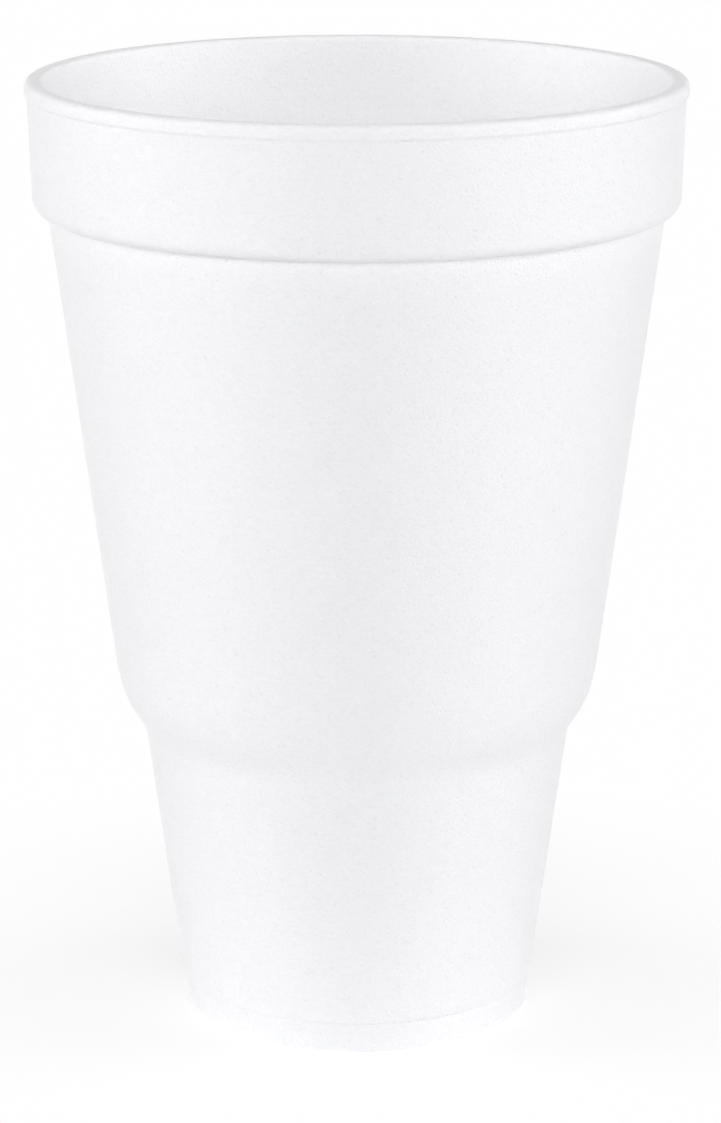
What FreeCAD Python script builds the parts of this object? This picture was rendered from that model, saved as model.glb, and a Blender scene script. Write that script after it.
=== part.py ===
"""A large disposable drinks cup, moulded in one piece from expanded polystyrene foam.

It has a rounded rim with a fine bead for the lid, a deep collar, a tapered body, and a narrower
pedestal that stands in a vehicle's cup holder. Millimetres, +Z up, origin at the centre of the foot.
"""

import FreeCAD, Part
import math
import os
import Sketcher

SIZES = {
    # overall
    "cup_height": 172.0,
    "rim_diameter": 118.0,  # over the bead
    # wall
    "wall": 2.7,  # measured level, on the body and the pedestal
    "rim_width": 3.4,
    "rim_outer_round": 1.25,
    "rim_inner_round": 1.0,
    # bead under the rim, which the lid snaps over
    "bead_height": 2.3,
    "bead_proud": 0.52,
    "bead_round": 0.4,
    # collar, the thick band that the hand and the stacked cup bear on
    "collar_height": 23.3,  # from the rim down to the collar's underside
    "collar_draft": 1.9,  # drafts are in degrees from upright
    "collar_round": 2.55,
    # body, pedestal and the shoulder between them
    "body_draft": 7.67,
    "pedestal_draft": 7.82,
    "pedestal_height": 53.8,
    "shoulder_width": 3.5,  # how far the pedestal stands in from the body's own line
    "shoulder_round": 20.5,
    "shoulder_root_round": 6.0,
    # foot
    "foot_height": 5.8,
    "foot_step": 0.28,
    "foot_draft": 5.8,
    "foot_round": 0.5,
    "foot_ring_width": 4.2,
    "recess_depth": 2.6,
    "recess_draft": 20.0,
    "recess_round": 1.0,
    # floor
    "floor_thickness": 3.2,
    "floor_round": 4.0,
    # how far the hollow's outline runs past the rim, so that it cuts clean through
    "cut_margin": 4.0,
}

# the most of the collar's underside that its round may take
UNDERSIDE_SHARE = 0.97
# an edge is the one asked for when its ring lies this close to the place named
SAME_PLACE = 0.001

# Expressions over the sheet, shared by the outlines. A draft's slope is tan(draft).
RIM_RADIUS = "Sizes.rim_diameter / 2"
BODY_SLOPE = "tan(Sizes.body_draft * 1 deg)"
PEDESTAL_SLOPE = "tan(Sizes.pedestal_draft * 1 deg)"
# the hollow's radius at the rim, and the body's radius on the same level, were it to run on up there
HOLLOW_TOP = f"({RIM_RADIUS} - Sizes.rim_width)"
BODY_TOP = f"({HOLLOW_TOP} + Sizes.wall)"
COLLAR_LEVEL = "(Sizes.cup_height - Sizes.collar_height)"
BEAD_LEVEL = "(Sizes.cup_height - Sizes.bead_height)"
COLLAR_TOP = f"({RIM_RADIUS} - Sizes.bead_proud)"
COLLAR_FOOT = f"({COLLAR_TOP} - (Sizes.collar_height - Sizes.bead_height) * tan(Sizes.collar_draft * 1 deg))"
BODY_AT_COLLAR = f"({BODY_TOP} - Sizes.collar_height * {BODY_SLOPE})"
PEDESTAL_TOP = (
    f"({BODY_TOP} - (Sizes.cup_height - Sizes.pedestal_height) * {BODY_SLOPE} - Sizes.shoulder_width)"
)
# the shoulder is an arc that starts on the pedestal's top ring and ends tangent to the body
SHOULDER_INSET = "(Sizes.shoulder_width * cos(Sizes.body_draft * 1 deg))"
SHOULDER_RUN = f"sqrt({SHOULDER_INSET} * (2 * Sizes.shoulder_round - {SHOULDER_INSET}))"
ARC_RADIUS = (
    f"({PEDESTAL_TOP} - (Sizes.shoulder_round - {SHOULDER_INSET}) * cos(Sizes.body_draft * 1 deg)"
    f" + {SHOULDER_RUN} * sin(Sizes.body_draft * 1 deg))"
)
ARC_LEVEL = (
    f"(Sizes.pedestal_height + (Sizes.shoulder_round - {SHOULDER_INSET}) * sin(Sizes.body_draft * 1 deg)"
    f" + {SHOULDER_RUN} * cos(Sizes.body_draft * 1 deg))"
)
PEDESTAL_FOOT = f"({PEDESTAL_TOP} - (Sizes.pedestal_height - Sizes.foot_height) * {PEDESTAL_SLOPE})"
FOOT_TOP = f"({PEDESTAL_FOOT} - Sizes.foot_step)"
FOOT_BOTTOM = f"({FOOT_TOP} - Sizes.foot_height * tan(Sizes.foot_draft * 1 deg))"
FLOOR_LEVEL = "(Sizes.recess_depth + Sizes.floor_thickness)"
# the hollow's shoulder is an arc about the same centre; its foot is where it meets the hollow's pedestal
HOLLOW_ARC = "(Sizes.shoulder_round - Sizes.wall * cos(Sizes.body_draft * 1 deg))"
HOLLOW_ASIDE = f"({PEDESTAL_TOP} - Sizes.wall - {ARC_RADIUS})"
HOLLOW_BELOW = f"(Sizes.pedestal_height - {ARC_LEVEL})"
HOLLOW_LEAN = f"({HOLLOW_ASIDE} * {PEDESTAL_SLOPE} + {HOLLOW_BELOW})"
HOLLOW_REACH = f"({HOLLOW_ASIDE} ^ 2 + {HOLLOW_BELOW} ^ 2 - {HOLLOW_ARC} ^ 2)"
HOLLOW_ROOT_LIFT = (
    f"((0 - {HOLLOW_LEAN} - sqrt({HOLLOW_LEAN} ^ 2 - (1 + {PEDESTAL_SLOPE} ^ 2) * {HOLLOW_REACH}))"
    f" / (1 + {PEDESTAL_SLOPE} ^ 2))"
)


def make_sheet(doc):
    """The sheet that holds every driving size."""
    sheet = doc.addObject("Spreadsheet::Sheet", "Sizes")
    for row, (alias, value) in enumerate(SIZES.items(), start=1):
        sheet.set(f"A{row}", alias)
        sheet.set(f"B{row}", str(value))
        sheet.setAlias(f"B{row}", alias)
    doc.recompute()
    return sheet


def measure(sheet, expression):
    """The present value of an expression over the sheet."""
    value = sheet.evalExpression(expression.replace("Sizes.", ""))
    return float(getattr(value, "Value", value))


def bind(sketch, kind, corner, value, expression):
    """Holds a sketch's corner at this distance from the cup's axis or from the foot's level."""
    if expression == "0":
        axis = -2 if kind == "DistanceX" else -1
        sketch.addConstraint(Sketcher.Constraint("PointOnObject", corner, 1, axis))
        return
    index = sketch.addConstraint(Sketcher.Constraint(kind, -1, 1, corner, 1, value))
    label = f"radius_{corner}" if kind == "DistanceX" else f"height_{corner}"
    sketch.renameConstraint(index, label)
    sketch.setExpression(f"Constraints.{label}", expression)


def add_outline(body, sheet, name, corners, arc=None):
    """A closed sketch on the body's XZ plane, whose corners are (radius, height) expressions.

    arc is (corner, radius): the side that starts at that corner is an arc about the shoulder's centre.
    """
    plane = next(f for f in body.Origin.OriginFeatures if f.Role == "XZ_Plane")
    sketch = body.newObject("Sketcher::SketchObject", name)
    sketch.AttachmentSupport = [(plane, "")]
    sketch.MapMode = "FlatFace"
    points = [FreeCAD.Vector(measure(sheet, r), measure(sheet, z), 0) for r, z in corners]
    count = len(points)
    for i in range(count):
        ends = points[i], points[(i + 1) % count]
        if arc and arc[0] == i:
            centre = FreeCAD.Vector(measure(sheet, ARC_RADIUS), measure(sheet, ARC_LEVEL), 0)
            circle = Part.Circle(centre, FreeCAD.Vector(0, 0, 1), measure(sheet, arc[1]))
            side = Part.ArcOfCircle(circle, circle.parameter(ends[0]), circle.parameter(ends[1]))
        else:
            side = Part.LineSegment(*ends)
        sketch.addGeometry(side, False)
    for i in range(count):
        sketch.addConstraint(Sketcher.Constraint("Coincident", i, 2, (i + 1) % count, 1))
    for i, (radius, height) in enumerate(corners):
        bind(sketch, "DistanceX", i, points[i].x, radius)
        bind(sketch, "DistanceY", i, points[i].y, height)
    if arc:
        index = sketch.addConstraint(Sketcher.Constraint("Radius", arc[0], measure(sheet, arc[1])))
        sketch.renameConstraint(index, "arc")
        sketch.setExpression("Constraints.arc", arc[1])
    body.Document.recompute()
    return sketch


def turn(body, kind, name, sketch):
    """A Revolution or Groove of the sketch, a full turn about the cup's axis."""
    before = 0 if body.Tip is None else body.Shape.Volume
    feature = body.newObject(f"PartDesign::{kind}", name)
    feature.Profile = sketch
    feature.ReferenceAxis = (sketch, ["V_Axis"])
    feature.Angle = 360
    feature.Reversed = False
    body.Document.recompute()
    if kind == "Groove" and body.Shape.Volume >= before:
        raise RuntimeError(f"{name} cut nothing")


def round_rings(body, sheet, name, rings, radius):
    """A Fillet of this radius on the round edges that lie at these (radius, height) expressions."""
    base = body.Tip
    places = [(measure(sheet, r), measure(sheet, z)) for r, z in rings]
    found = []
    for index, edge in enumerate(base.Shape.Edges, start=1):
        if not isinstance(edge.Curve, Part.Circle):
            continue
        here = (edge.Curve.Radius, edge.Curve.Center.z)
        if any(math.dist(here, place) < SAME_PLACE for place in places):
            found.append(f"Edge{index}")
    if len(found) < len(rings):
        raise RuntimeError(f"{name}: {len(found)} edges found for {len(rings)} rings")
    fillet = body.newObject("PartDesign::Fillet", name)
    fillet.Base = (base, found)
    fillet.setExpression("Radius", radius)
    body.Document.recompute()


def make_cup(doc, sheet):
    """The cup: an outside, a hollow and an underside, each turned from its outline, then rounded."""
    body = doc.addObject("PartDesign::Body", "foam_cup")
    body.Label = "foam_cup"

    cos_body = "cos(Sizes.body_draft * 1 deg)"
    sin_body = "sin(Sizes.body_draft * 1 deg)"
    hip = (
        f"{ARC_RADIUS} + Sizes.shoulder_round * {cos_body}",
        f"{ARC_LEVEL} - Sizes.shoulder_round * {sin_body}",
    )
    outside = add_outline(body, sheet, "OutsideOutline", [
        ("0", "0"),
        (FOOT_BOTTOM, "0"),
        (FOOT_TOP, "Sizes.foot_height - Sizes.foot_step"),
        (PEDESTAL_FOOT, "Sizes.foot_height"),
        (PEDESTAL_TOP, "Sizes.pedestal_height"),
        hip,
        (BODY_AT_COLLAR, COLLAR_LEVEL),
        (COLLAR_FOOT, COLLAR_LEVEL),
        (COLLAR_TOP, f"{BEAD_LEVEL} - Sizes.bead_proud"),
        (RIM_RADIUS, BEAD_LEVEL),
        (RIM_RADIUS, "Sizes.cup_height"),
        ("0", "Sizes.cup_height"),
    ], arc=(4, "Sizes.shoulder_round"))
    turn(body, "Revolution", "Outside", outside)

    root = (
        f"{PEDESTAL_TOP} - Sizes.wall + {HOLLOW_ROOT_LIFT} * {PEDESTAL_SLOPE}",
        f"Sizes.pedestal_height + {HOLLOW_ROOT_LIFT}",
    )
    hollow_hip = (
        f"{ARC_RADIUS} + {HOLLOW_ARC} * {cos_body}",
        f"{ARC_LEVEL} - {HOLLOW_ARC} * {sin_body}",
    )
    floor_radius = (
        f"({PEDESTAL_TOP} - Sizes.wall - (Sizes.pedestal_height - {FLOOR_LEVEL}) * {PEDESTAL_SLOPE})"
    )
    hollow = add_outline(body, sheet, "HollowOutline", [
        ("0", FLOOR_LEVEL),
        (floor_radius, FLOOR_LEVEL),
        root,
        hollow_hip,
        (f"({HOLLOW_TOP} + Sizes.cut_margin * {BODY_SLOPE})", "Sizes.cup_height + Sizes.cut_margin"),
        ("0", "Sizes.cup_height + Sizes.cut_margin"),
    ], arc=(2, HOLLOW_ARC))
    turn(body, "Groove", "Hollow", hollow)

    recess_foot = f"({FOOT_BOTTOM} - Sizes.foot_ring_width)"
    recess_top = f"({recess_foot} - Sizes.recess_depth * tan(Sizes.recess_draft * 1 deg))"
    recess = add_outline(body, sheet, "RecessOutline", [
        ("0", "0"),
        (recess_foot, "0"),
        (recess_top, "Sizes.recess_depth"),
        ("0", "Sizes.recess_depth"),
    ])
    turn(body, "Groove", "Recess", recess)

    shoulder_roots = [(PEDESTAL_TOP, "Sizes.pedestal_height"), root]
    round_rings(body, sheet, "ShoulderRootRound", shoulder_roots, "Sizes.shoulder_root_round")
    collar_round = f"min(Sizes.collar_round; {UNDERSIDE_SHARE} * ({COLLAR_FOOT} - {BODY_AT_COLLAR}))"
    round_rings(body, sheet, "CollarRound", [(COLLAR_FOOT, COLLAR_LEVEL)], collar_round)
    round_rings(body, sheet, "RimOuterRound", [(RIM_RADIUS, "Sizes.cup_height")], "Sizes.rim_outer_round")
    round_rings(body, sheet, "RimInnerRound", [(HOLLOW_TOP, "Sizes.cup_height")], "Sizes.rim_inner_round")
    round_rings(body, sheet, "BeadRound", [(RIM_RADIUS, BEAD_LEVEL)], "Sizes.bead_round")
    round_rings(body, sheet, "FloorRound", [(floor_radius, FLOOR_LEVEL)], "Sizes.floor_round")
    round_rings(body, sheet, "FootRound", [(FOOT_BOTTOM, "0")], "Sizes.foot_round")
    recess_edges = [(recess_foot, "0"), (recess_top, "Sizes.recess_depth")]
    round_rings(body, sheet, "RecessRound", recess_edges, "Sizes.recess_round")
    return body


def check_document(doc, parts):
    """Stops at a failed object, or at a part that is not one valid solid."""
    for item in doc.Objects:
        if "Invalid" in item.State or "Error" in item.State:
            raise RuntimeError(f"{item.Name} failed: {item.State}")
    for part in parts:
        shape = part.Shape
        if shape.isNull() or not shape.isValid() or len(shape.Solids) != 1:
            raise RuntimeError(f"{part.Label} is not one valid solid")


def main():
    doc = FreeCAD.newDocument("FoamCup")
    sheet = make_sheet(doc)
    parts = [make_cup(doc, sheet)]
    doc.recompute()
    check_document(doc, parts)
    os.makedirs("parts", exist_ok=True)
    for part in parts:
        part.Shape.exportStep(f"parts/{part.Label}.step")
        print(part.Label, "volume mm3", round(part.Shape.Volume, 1))


main()
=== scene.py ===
"""A large foam drinks cup on a plain white table: its finish, the light and the camera.

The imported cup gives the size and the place. The shown cup is turned by Geometry Nodes from the
same outline, and carries the slight unevenness and the bead texture of moulded foam.
"""

import math

import bpy
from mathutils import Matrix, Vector


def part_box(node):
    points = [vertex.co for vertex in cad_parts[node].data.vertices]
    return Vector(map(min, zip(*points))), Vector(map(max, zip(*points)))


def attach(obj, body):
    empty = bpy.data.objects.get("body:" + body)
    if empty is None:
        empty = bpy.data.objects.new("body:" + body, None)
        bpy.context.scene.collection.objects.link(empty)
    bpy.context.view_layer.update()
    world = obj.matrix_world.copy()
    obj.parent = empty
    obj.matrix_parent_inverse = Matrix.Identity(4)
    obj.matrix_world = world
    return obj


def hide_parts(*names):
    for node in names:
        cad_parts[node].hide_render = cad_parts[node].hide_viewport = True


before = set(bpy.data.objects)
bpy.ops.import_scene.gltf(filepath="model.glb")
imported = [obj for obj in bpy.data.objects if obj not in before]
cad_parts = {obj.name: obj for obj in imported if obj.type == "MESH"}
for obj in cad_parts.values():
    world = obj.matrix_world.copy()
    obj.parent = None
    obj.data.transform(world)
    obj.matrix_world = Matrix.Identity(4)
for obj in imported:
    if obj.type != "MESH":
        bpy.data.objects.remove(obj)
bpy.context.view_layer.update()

MM = 0.001
NODE = "foam_cup"
low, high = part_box(NODE)

# ---------------------------------------------------------------- sizes, in millimetres and degrees
CUP_HEIGHT = (high.z - low.z) / MM
RIM_RADIUS = (high.x - low.x) / 2 / MM
WALL = 2.7
RIM_WIDTH = 3.4
RIM_OUTER_ROUND = 1.25
RIM_INNER_ROUND = 1.0
BEAD_HEIGHT = 2.3
BEAD_PROUD = 0.52
BEAD_ROUND = 0.4
COLLAR_HEIGHT = 23.3
COLLAR_DRAFT = 1.9
COLLAR_ROUND = 2.5
BODY_DRAFT = 7.67
PEDESTAL_DRAFT = 7.82
PEDESTAL_HEIGHT = 53.8
SHOULDER_WIDTH = 3.5
SHOULDER_ROUND = 20.5
SHOULDER_ROOT_ROUND = 6.0
FOOT_HEIGHT = 5.8
FOOT_STEP = 0.28
FOOT_DRAFT = 5.8
FOOT_ROUND = 0.5
FOOT_GROOVE = 0.22  # how deep the mark of the mould's joint goes in above the foot
FOOT_RING_WIDTH = 4.2
RECESS_DEPTH = 2.6
RECESS_DRAFT = 20.0
RECESS_ROUND = 1.0
FLOOR_THICKNESS = 3.2
FLOOR_ROUND = 4.0
CREASE_ROUND = 0.3  # foam beads can't fill a sharp corner of the mould
TIGHT_CREASE_ROUND = 0.1
UNEVENNESS = 0.06  # how far the surface sinks at most as the foam cools
PATCH_SIZE = 9.0  # across one shallow patch of it
PATCH_SEED = 7
ROW_STEP = 1.3  # along the outline, between two rows of the mesh
ARC_STEP = 11.0  # degrees, between two rows round a corner
FACETS = 240
WELD = 0.02  # closes the seam and the two poles


def tan(degrees):
    """Tangent of an angle in degrees."""
    return math.tan(math.radians(degrees))


def linear(hex_code):
    """An sRGB hex colour as linear RGBA."""
    parts = [int(hex_code[i:i + 2], 16) / 255 for i in (1, 3, 5)]
    parts = [c / 12.92 if c <= 0.04045 else ((c + 0.055) / 1.055) ** 2.4 for c in parts]
    return (*parts, 1.0)


def add_node(tree, kind, inputs=None, **settings):
    """Adds a node with these settings; inputs are values, or the sockets that feed them."""
    node = tree.nodes.new(kind)
    for name, value in settings.items():
        setattr(node, name, value)
    for key, value in (inputs or {}).items():
        if isinstance(value, bpy.types.NodeSocket):
            tree.links.new(value, node.inputs[key])
        else:
            node.inputs[key].default_value = value
    return node


# ---------------------------------------------------------------- the cup's outline
def arc(centre, radius, start, end):
    """Points on an arc, from one angle to the other, in radians."""
    count = max(2, math.ceil(abs(end - start) / math.radians(ARC_STEP)))
    angles = [start + (end - start) * i / count for i in range(count + 1)]
    return [centre + Vector((math.cos(a), math.sin(a))) * radius for a in angles]


def rounded(before, corner, after, radius):
    """The points that round a corner between two straight sides."""
    back = (before - corner).normalized()
    ahead = (after - corner).normalized()
    half = back.angle(ahead) / 2
    middle = corner + (back + ahead).normalized() * (radius / math.sin(half))
    first = corner + back * (radius / math.tan(half))
    last = corner + ahead * (radius / math.tan(half))
    start = math.atan2(*(first - middle).yx)
    sweep = (math.atan2(*(last - middle).yx) - start + math.pi) % math.tau - math.pi
    return arc(middle, radius, start, start + sweep)


def shoulder(top, arc_middle, arc_radius, draft):
    """The points from the pedestal's line up over the shoulder to the body, rounded at its root.

    top is the pedestal's top ring. The root's round touches the pedestal's line, and the arc from
    outside.
    """
    up = Vector((tan(draft), 1)).normalized()
    out = Vector((up.y, -up.x))
    offset = top + out * SHOULDER_ROOT_ROUND - arc_middle
    reach = arc_radius + SHOULDER_ROOT_ROUND
    along = -offset.dot(up) - math.sqrt(offset.dot(up) ** 2 - offset.length_squared + reach ** 2)
    middle = arc_middle + offset + up * along
    start = math.atan2(*(-out).yx)
    touch = math.atan2(*(arc_middle - middle).yx)
    sweep = (touch - start + math.pi) % math.tau - math.pi
    root = arc(middle, SHOULDER_ROOT_ROUND, start, start + sweep)
    rise = math.atan2(*(middle - arc_middle).yx)
    return root + arc(arc_middle, arc_radius, rise, -math.radians(BODY_DRAFT))[1:]


def cup_outline():
    """The outline from the recess's middle, up the outside, over the rim and down to the floor."""
    hollow_top = RIM_RADIUS - RIM_WIDTH
    body_top = hollow_top + WALL
    collar_level = CUP_HEIGHT - COLLAR_HEIGHT
    bead_level = CUP_HEIGHT - BEAD_HEIGHT
    collar_top = RIM_RADIUS - BEAD_PROUD
    collar_foot = collar_top - (COLLAR_HEIGHT - BEAD_HEIGHT) * tan(COLLAR_DRAFT)
    body_at_collar = body_top - COLLAR_HEIGHT * tan(BODY_DRAFT)
    pedestal_top = body_top - (CUP_HEIGHT - PEDESTAL_HEIGHT) * tan(BODY_DRAFT) - SHOULDER_WIDTH
    pedestal_foot = pedestal_top - (PEDESTAL_HEIGHT - FOOT_HEIGHT) * tan(PEDESTAL_DRAFT)
    foot_top = pedestal_foot - FOOT_STEP
    foot_bottom = foot_top - FOOT_HEIGHT * tan(FOOT_DRAFT)
    recess_foot = foot_bottom - FOOT_RING_WIDTH
    recess_top = recess_foot - RECESS_DEPTH * tan(RECESS_DRAFT)
    floor_level = RECESS_DEPTH + FLOOR_THICKNESS
    floor_radius = pedestal_top - WALL - (PEDESTAL_HEIGHT - floor_level) * tan(PEDESTAL_DRAFT)

    # the shoulder's arc starts on the pedestal's top ring and ends tangent to the body
    lean = math.radians(BODY_DRAFT)
    inset = SHOULDER_WIDTH * math.cos(lean)
    run = math.sqrt(inset * (2 * SHOULDER_ROUND - inset))
    arc_middle = Vector((
        pedestal_top - (SHOULDER_ROUND - inset) * math.cos(lean) + run * math.sin(lean),
        PEDESTAL_HEIGHT + (SHOULDER_ROUND - inset) * math.sin(lean) + run * math.cos(lean),
    ))
    outside = shoulder(
        Vector((pedestal_top, PEDESTAL_HEIGHT)),
        arc_middle,
        SHOULDER_ROUND,
        PEDESTAL_DRAFT,
    )
    hollow = shoulder(
        Vector((pedestal_top - WALL, PEDESTAL_HEIGHT)),
        arc_middle,
        SHOULDER_ROUND - WALL * math.cos(lean),
        PEDESTAL_DRAFT,
    )

    corners = [
        (Vector((0, RECESS_DEPTH)), 0),
        (Vector((recess_top, RECESS_DEPTH)), RECESS_ROUND),
        (Vector((recess_foot, 0)), RECESS_ROUND),
        (Vector((foot_bottom, 0)), FOOT_ROUND),
        (Vector((foot_top, FOOT_HEIGHT - FOOT_STEP - FOOT_GROOVE)), TIGHT_CREASE_ROUND),
        (Vector((foot_top - FOOT_GROOVE, FOOT_HEIGHT - FOOT_STEP)), 0),
        (Vector((pedestal_foot, FOOT_HEIGHT)), TIGHT_CREASE_ROUND),
        *[(point, 0) for point in outside],
        (Vector((body_at_collar, collar_level)), TIGHT_CREASE_ROUND),
        (Vector((collar_foot, collar_level)), COLLAR_ROUND),
        (Vector((collar_top, bead_level - BEAD_PROUD)), CREASE_ROUND),
        (Vector((RIM_RADIUS, bead_level)), BEAD_ROUND),
        (Vector((RIM_RADIUS, CUP_HEIGHT)), RIM_OUTER_ROUND),
        (Vector((hollow_top, CUP_HEIGHT)), RIM_INNER_ROUND),
        *[(point, 0) for point in reversed(hollow)],
        (Vector((floor_radius, floor_level)), FLOOR_ROUND),
        (Vector((0, floor_level)), 0),
    ]
    points = []
    for i, (corner, radius) in enumerate(corners):
        if radius:
            points += rounded(corners[i - 1][0], corner, corners[i + 1][0], radius)
        else:
            points.append(corner)
    # long straight runs get rows of their own
    rows = points[:1]
    for point in points[1:]:
        start = rows[-1]
        count = math.ceil((point - start).length / ROW_STEP)
        rows += [start.lerp(point, i / count) for i in range(1, count + 1)]
    return rows


# ---------------------------------------------------------------- expanded polystyrene
BEAD_SIZE = 0.47  # mm across, once the beads have filled the mould
BEAD_SQUASH = 1.25  # how much wider than tall a bead is
BEAD_DOME = 0.05  # each bead's bulge, as a share of its size
BEAD_TILT = 0.035  # the steepest slope of a bead's face
PIT_START = 0.8  # a pinhole opens where the nearest bead's middle is this many beads away
PIT_END = 0.88  # and is at its full depth here
PIT_DEPTH = 0.004  # mm
FOAM_ROUGHNESS = 0.42
POLYSTYRENE_IOR = 1.59
FOAM_SHEEN = 0.14  # dull, matched to the cup
FOAM_SPREAD = 0.2  # how much of the light passes into the foam
SPREAD_REACH = 2.0  # mm
DULL_WHITE = "#F7F7F9"
BRIGHT_WHITE = "#FBFBFD"
# painted shade in the pinholes
PIT_PAINTED_SHADE = "#F3F3F6"


def moulded_polystyrene_foam():
    """Expanded polystyrene, steam-moulded from small beads.

    It is white, with a dull sheen. The beads are pressed against the mould, so each is a low dome
    that leans a little its own way, and where three or four meet there may be a pinhole.
    Some light passes into the foam and spreads.
    """
    material = bpy.data.materials.new("moulded_expanded_polystyrene_foam")
    material.use_nodes = True
    tree = material.node_tree
    tree.nodes.clear()
    place = add_node(tree, "ShaderNodeTexCoord").outputs["Object"]
    place = add_node(tree, "ShaderNodeVectorMath", {0: place, 1: (1.0, 1.0, BEAD_SQUASH)},
                     operation="MULTIPLY").outputs["Vector"]
    bead = add_node(tree, "ShaderNodeTexVoronoi", {"Vector": place, "Scale": 1 / (BEAD_SIZE * MM)},
                    voronoi_dimensions="3D", feature="F1")
    away = bead.outputs["Distance"]

    dome = add_node(tree, "ShaderNodeMath", {0: away, 1: away}, operation="MULTIPLY")
    dome = add_node(tree, "ShaderNodeMath",
                    {0: dome.outputs["Value"], 1: -4 * BEAD_DOME * BEAD_SIZE * MM},
                    operation="MULTIPLY")
    from_middle = add_node(tree, "ShaderNodeVectorMath", {0: place, 1: bead.outputs["Position"]},
                           operation="SUBTRACT")
    lean = add_node(tree, "ShaderNodeVectorMath", {0: bead.outputs["Color"], 1: (0.5, 0.5, 0.5)},
                    operation="SUBTRACT")
    lean = add_node(tree, "ShaderNodeVectorMath",
                    {0: from_middle.outputs["Vector"], 1: lean.outputs["Vector"]},
                    operation="DOT_PRODUCT")
    lean = add_node(tree, "ShaderNodeMath", {0: lean.outputs["Value"], 1: 2 * BEAD_TILT},
                    operation="MULTIPLY")
    pit = add_node(tree, "ShaderNodeMapRange",
                   {"Value": away, "From Min": PIT_START, "From Max": PIT_END, "To Min": 0.0,
                    "To Max": -PIT_DEPTH * MM},
                   interpolation_type="SMOOTHSTEP")
    relief = add_node(tree, "ShaderNodeMath", {0: dome.outputs["Value"], 1: lean.outputs["Value"]},
                      operation="ADD")
    relief = add_node(tree, "ShaderNodeMath",
                      {0: relief.outputs["Value"], 1: pit.outputs["Result"]}, operation="ADD")
    bump = add_node(tree, "ShaderNodeBump",
                    {"Height": relief.outputs["Value"], "Strength": 1.0, "Distance": 1.0})

    # no two beads are quite the same white, and a pinhole is painted darker, as painted shade in
    # the hole
    kind = add_node(tree, "ShaderNodeSeparateColor", {"Color": bead.outputs["Color"]})
    white = add_node(tree, "ShaderNodeMix",
                     {"Factor": kind.outputs["Red"], "A": linear(DULL_WHITE),
                      "B": linear(BRIGHT_WHITE)},
                     data_type="RGBA")
    shade = add_node(tree, "ShaderNodeMapRange",
                     {"Value": away, "From Min": PIT_START, "From Max": PIT_END})
    white = add_node(tree, "ShaderNodeMix",
                     {"Factor": shade.outputs["Result"], "A": white.outputs["Result"],
                      "B": linear(PIT_PAINTED_SHADE)},
                     data_type="RGBA")
    surface = add_node(tree, "ShaderNodeBsdfPrincipled",
                       {"Base Color": white.outputs["Result"], "Roughness": FOAM_ROUGHNESS,
                        "IOR": POLYSTYRENE_IOR, "Specular IOR Level": FOAM_SHEEN,
                        "Subsurface Weight": FOAM_SPREAD, "Subsurface Radius": (1.0, 1.0, 1.0),
                        "Subsurface Scale": SPREAD_REACH * MM, "Normal": bump.outputs["Normal"]})
    add_node(tree, "ShaderNodeOutputMaterial", {"Surface": surface.outputs["BSDF"]})
    return material


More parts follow.
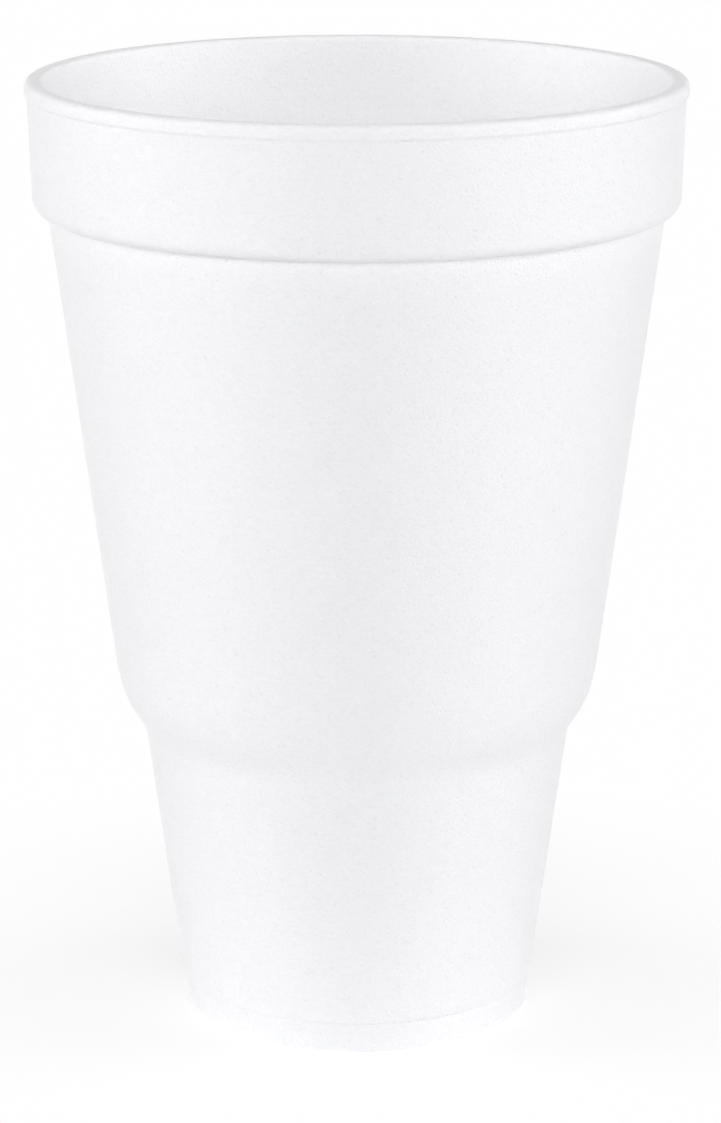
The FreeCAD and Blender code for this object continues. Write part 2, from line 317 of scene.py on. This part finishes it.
# ---------------------------------------------------------------- the cup
def turning_tree():
    """Geometry Nodes that turn an outline about Z and make the surface slightly uneven."""
    tree = bpy.data.node_groups.new("turned_foam_cup", "GeometryNodeTree")
    sockets = {}
    for name, kind in (
        ("Outline", "NodeSocketGeometry"),
        ("Facets", "NodeSocketInt"),
        ("Unevenness", "NodeSocketFloat"),
        ("Patch Size", "NodeSocketFloat"),
        ("Seed", "NodeSocketInt"),
        ("Finish", "NodeSocketMaterial"),
    ):
        sockets[name] = tree.interface.new_socket(name=name, in_out="INPUT", socket_type=kind)
    tree.interface.new_socket(name="Cup", in_out="OUTPUT", socket_type="NodeSocketGeometry")
    given = add_node(tree, "NodeGroupInput").outputs

    rows = add_node(tree, "GeometryNodeAttributeDomainSize", {"Geometry": given["Outline"]})
    rows = rows.outputs["Point Count"]
    columns = add_node(tree, "ShaderNodeMath", {0: given["Facets"], 1: 1.0}, operation="ADD")
    grid = add_node(tree, "GeometryNodeMeshGrid",
                    {"Vertices X": columns.outputs["Value"], "Vertices Y": rows})
    index = add_node(tree, "GeometryNodeInputIndex").outputs["Index"]
    share = add_node(tree, "ShaderNodeMath", {0: index, 1: rows}, operation="DIVIDE")
    column = add_node(tree, "ShaderNodeMath", {0: share.outputs["Value"]}, operation="FLOOR")
    row = add_node(tree, "ShaderNodeMath", {0: index, 1: rows}, operation="MODULO")
    position = add_node(tree, "GeometryNodeInputPosition").outputs["Position"]
    corner = add_node(tree, "GeometryNodeSampleIndex",
                      {"Geometry": given["Outline"], "Value": position,
                       "Index": row.outputs["Value"]},
                      data_type="FLOAT_VECTOR", domain="POINT")
    turn = add_node(tree, "ShaderNodeMath", {0: column.outputs["Value"], 1: math.tau},
                    operation="MULTIPLY")
    angle = add_node(tree, "ShaderNodeMath", {0: turn.outputs["Value"], 1: given["Facets"]},
                     operation="DIVIDE")
    turned = add_node(tree, "ShaderNodeVectorRotate",
                      {"Vector": corner.outputs["Value"], "Angle": angle.outputs["Value"]},
                      rotation_type="Z_AXIS")
    placed = add_node(tree, "GeometryNodeSetPosition",
                      {"Geometry": grid.outputs["Mesh"], "Position": turned.outputs["Vector"]})
    closed = add_node(tree, "GeometryNodeMergeByDistance",
                      {"Geometry": placed.outputs["Geometry"], "Distance": WELD * MM})

    # broad, shallow sinks along the normal, as foam has when it has cooled
    patches = add_node(tree, "ShaderNodeMath", {0: 1.0, 1: given["Patch Size"]}, operation="DIVIDE")
    noise = add_node(tree, "ShaderNodeTexNoise",
                     {"Vector": position, "W": given["Seed"], "Scale": patches.outputs["Value"],
                      "Detail": 1.0},
                     noise_dimensions="4D")
    sink = add_node(tree, "ShaderNodeMath", {0: noise.outputs["Fac"], 1: -1.0},
                    operation="MULTIPLY")
    amount = add_node(tree, "ShaderNodeMath", {0: sink.outputs["Value"], 1: given["Unevenness"]},
                      operation="MULTIPLY")
    normal = add_node(tree, "GeometryNodeInputNormal").outputs["Normal"]
    push = add_node(tree, "ShaderNodeVectorMath", {0: normal, "Scale": amount.outputs["Value"]},
                    operation="SCALE")
    uneven = add_node(tree, "GeometryNodeSetPosition",
                      {"Geometry": closed.outputs["Geometry"], "Offset": push.outputs["Vector"]})
    smooth = add_node(tree, "GeometryNodeSetShadeSmooth", {"Geometry": uneven.outputs["Geometry"]})
    real = add_node(tree, "GeometryNodeRealizeInstances", {"Geometry": smooth.outputs["Geometry"]})
    finished = add_node(tree, "GeometryNodeSetMaterial",
                        {"Geometry": real.outputs["Geometry"], "Material": given["Finish"]})
    add_node(tree, "NodeGroupOutput", {"Cup": finished.outputs["Geometry"]})
    return tree, sockets


def make_cup(finish):
    """The shown cup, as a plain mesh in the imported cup's place."""
    outline = bpy.data.meshes.new("foam_cup_outline")
    rows = cup_outline()
    outline.from_pydata([(p.x * MM, 0, low.z + p.y * MM) for p in rows], [], [])
    cup = bpy.data.objects.new("foam_cup_shell", outline)
    bpy.context.scene.collection.objects.link(cup)
    tree, sockets = turning_tree()
    turning = cup.modifiers.new("turned", "NODES")
    turning.node_group = tree
    for name, value in (
        ("Facets", FACETS),
        ("Unevenness", UNEVENNESS * MM),
        ("Patch Size", PATCH_SIZE * MM),
        ("Seed", PATCH_SEED),
        ("Finish", finish),
    ):
        turning[sockets[name].identifier] = value
    graph = bpy.context.evaluated_depsgraph_get()
    shell = bpy.data.meshes.new_from_object(cup.evaluated_get(graph))
    cup.modifiers.remove(turning)
    cup.data = shell
    bpy.data.meshes.remove(outline)
    return cup


cup = make_cup(moulded_polystyrene_foam())
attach(cup, "root")
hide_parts(NODE)


# ---------------------------------------------------------------- the setting, in metres
TABLE_HALF = 3.0
TABLE_GAP = 0.00005  # keeps the tabletop just clear of the foot
TABLE_COLOUR = "#F2F2F3"
TABLE_WHITE = 0.995  # how white the table is seen
LIT_TABLE = 0.78  # the level of the bare table under the lamps
SHADOW_SHARE = 0.5  # how much of the lit table is seen at the cup
SHADOW_REACH = 0.14  # the lit table is no longer seen this far from the cup's middle
TABLE_GLOW = 0.24  # stands in for a brighter tabletop round the foot
GLOW_REACH = 0.16  # the glow has faded out this far from the middle

LAMPS = (
    # name, azimuth and elevation in degrees, width, height, power in watts
    ("side_left", -90, 14, 0.5, 0.4, 5.5),
    ("side_right", 90, 14, 0.5, 0.4, 5.42),
    ("front_mid", 0, 24, 1.2, 0.5, 7.33),
    ("top", 0, 88, 0.8, 0.8, 4.28),
)
LAMP_REACH = 1.1  # from each softbox to the point that they all face
LAMP_AIM = (0, 0, 0.1)
THROUGH_THE_WALL = 0.0056  # watts, from the lamp in the cup
GLOW_BALL = 0.015  # that lamp's radius
GLOW_DEPTH = 0.022  # and how far it is below the rim

LENS = 137.85  # mm, on a sensor 36 mm wide
SENSOR = 36
CAMERA_PLACE = (0.00066, -0.760, 0.2776)
CAMERA_PITCH = 14.345  # degrees below level


def seen_ray(tree):
    """1 for a ray that sees the surroundings: the camera's, off gloss or through clear things."""
    path = add_node(tree, "ShaderNodeLightPath").outputs
    seen = path["Is Camera Ray"]
    for kind in ("Is Glossy Ray", "Is Transmission Ray"):
        seen = add_node(tree, "ShaderNodeMath", {0: seen, 1: path[kind]},
                        operation="MAXIMUM").outputs["Value"]
    return seen


def white_table():
    """A matt white tabletop that runs out of view on every side.

    It is seen as plain white, with the cup's own shadow round the foot.
    """
    mesh = bpy.data.meshes.new("table")
    half = TABLE_HALF
    corners = [(-half, -half), (half, -half), (half, half), (-half, half)]
    mesh.from_pydata([(x, y, low.z - TABLE_GAP) for x, y in corners], [], [(0, 1, 2, 3)])
    table = bpy.data.objects.new("table", mesh)
    bpy.context.scene.collection.objects.link(table)
    material = bpy.data.materials.new("matt_white_laminate_table")
    material.use_nodes = True
    tree = material.node_tree
    tree.nodes.clear()
    matt = add_node(tree, "ShaderNodeBsdfDiffuse",
                    {"Color": linear(TABLE_COLOUR), "Roughness": 0.0})
    place = add_node(tree, "ShaderNodeTexCoord").outputs["Object"]
    away = add_node(tree, "ShaderNodeVectorMath", {0: place}, operation="LENGTH").outputs["Value"]
    level = add_node(tree, "ShaderNodeMapRange",
                     {"Value": away, "From Min": 0.0, "From Max": GLOW_REACH, "To Min": TABLE_GLOW,
                      "To Max": 0.0},
                     interpolation_type="SMOOTHSTEP")
    glow = add_node(tree, "ShaderNodeEmission",
                    {"Color": linear("#FFFFFF"), "Strength": level.outputs["Result"]})
    lit = add_node(tree, "ShaderNodeAddShader",
                   {0: matt.outputs["BSDF"], 1: glow.outputs["Emission"]})

    # what is seen: a share of the lit surface near the cup, and plain white for the rest
    share = add_node(tree, "ShaderNodeMapRange",
                     {"Value": away, "From Min": 0.0, "From Max": SHADOW_REACH,
                      "To Min": SHADOW_SHARE, "To Max": 0.0},
                     interpolation_type="SMOOTHSTEP").outputs["Result"]
    shaded = add_node(tree, "ShaderNodeMixShader", {0: share, 2: matt.outputs["BSDF"]})
    rest = add_node(tree, "ShaderNodeMath", {0: share, 1: -LIT_TABLE, 2: TABLE_WHITE},
                    operation="MULTIPLY_ADD")
    white = add_node(tree, "ShaderNodeEmission",
                     {"Color": linear("#FFFFFF"), "Strength": rest.outputs["Value"]})
    shown = add_node(tree, "ShaderNodeAddShader",
                     {0: shaded.outputs["Shader"], 1: white.outputs["Emission"]})
    mixed = add_node(tree, "ShaderNodeMixShader",
                     {0: seen_ray(tree), 1: lit.outputs["Shader"], 2: shown.outputs["Shader"]})
    add_node(tree, "ShaderNodeOutputMaterial", {"Surface": mixed.outputs["Shader"]})
    mesh.materials.append(material)


def studio_light():
    """Softboxes at both sides, in front and above. The room is seen white, and gives no light."""
    world = bpy.data.worlds.new("white_room")
    world.use_nodes = True
    tree = world.node_tree
    tree.nodes.clear()
    white = add_node(tree, "ShaderNodeBackground",
                     {"Color": linear("#FFFFFF"), "Strength": seen_ray(tree)})
    add_node(tree, "ShaderNodeOutputWorld", {"Surface": white.outputs["Background"]})
    bpy.context.scene.world = world
    for name, azimuth, elevation, width, tall, power in LAMPS:
        lamp = bpy.data.lights.new(name, "AREA")
        lamp.shape = "RECTANGLE"
        lamp.size = width
        lamp.size_y = tall
        lamp.energy = power
        holder = bpy.data.objects.new(name, lamp)
        turn, lift = math.radians(azimuth), math.radians(elevation)
        level = math.cos(lift)
        way = Vector((math.sin(turn) * level, -math.cos(turn) * level, math.sin(lift)))
        holder.location = Vector(LAMP_AIM) + way * LAMP_REACH
        holder.rotation_euler = (-way).to_track_quat("-Z", "Y").to_euler()
        bpy.context.scene.collection.objects.link(holder)


def light_in_the_cup():
    """A faint, unseen lamp below the rim, which stands in for the light through the thin wall."""
    lamp = bpy.data.lights.new("through_the_wall", "POINT")
    lamp.energy = THROUGH_THE_WALL
    lamp.shadow_soft_size = GLOW_BALL
    holder = bpy.data.objects.new("through_the_wall", lamp)
    holder.location = (0, 0, high.z - GLOW_DEPTH)
    holder.visible_camera = False
    holder.visible_glossy = False
    bpy.context.scene.collection.objects.link(holder)


def camera():
    """A long lens a little above the rim, looking down at the cup."""
    lens = bpy.data.cameras.new("camera")
    lens.sensor_width = SENSOR
    lens.lens = LENS
    lens.clip_start = 0.01
    lens.clip_end = 50
    holder = bpy.data.objects.new("camera", lens)
    holder.location = CAMERA_PLACE
    holder.rotation_euler = (math.radians(90 - CAMERA_PITCH), 0, 0)
    bpy.context.scene.collection.objects.link(holder)
    bpy.context.scene.camera = holder


white_table()
studio_light()
light_in_the_cup()
camera()
bpy.context.scene.view_settings.view_transform = "Standard"
bpy.context.scene.cycles.diffuse_bounces = 12  # light bounces many times inside a white cup
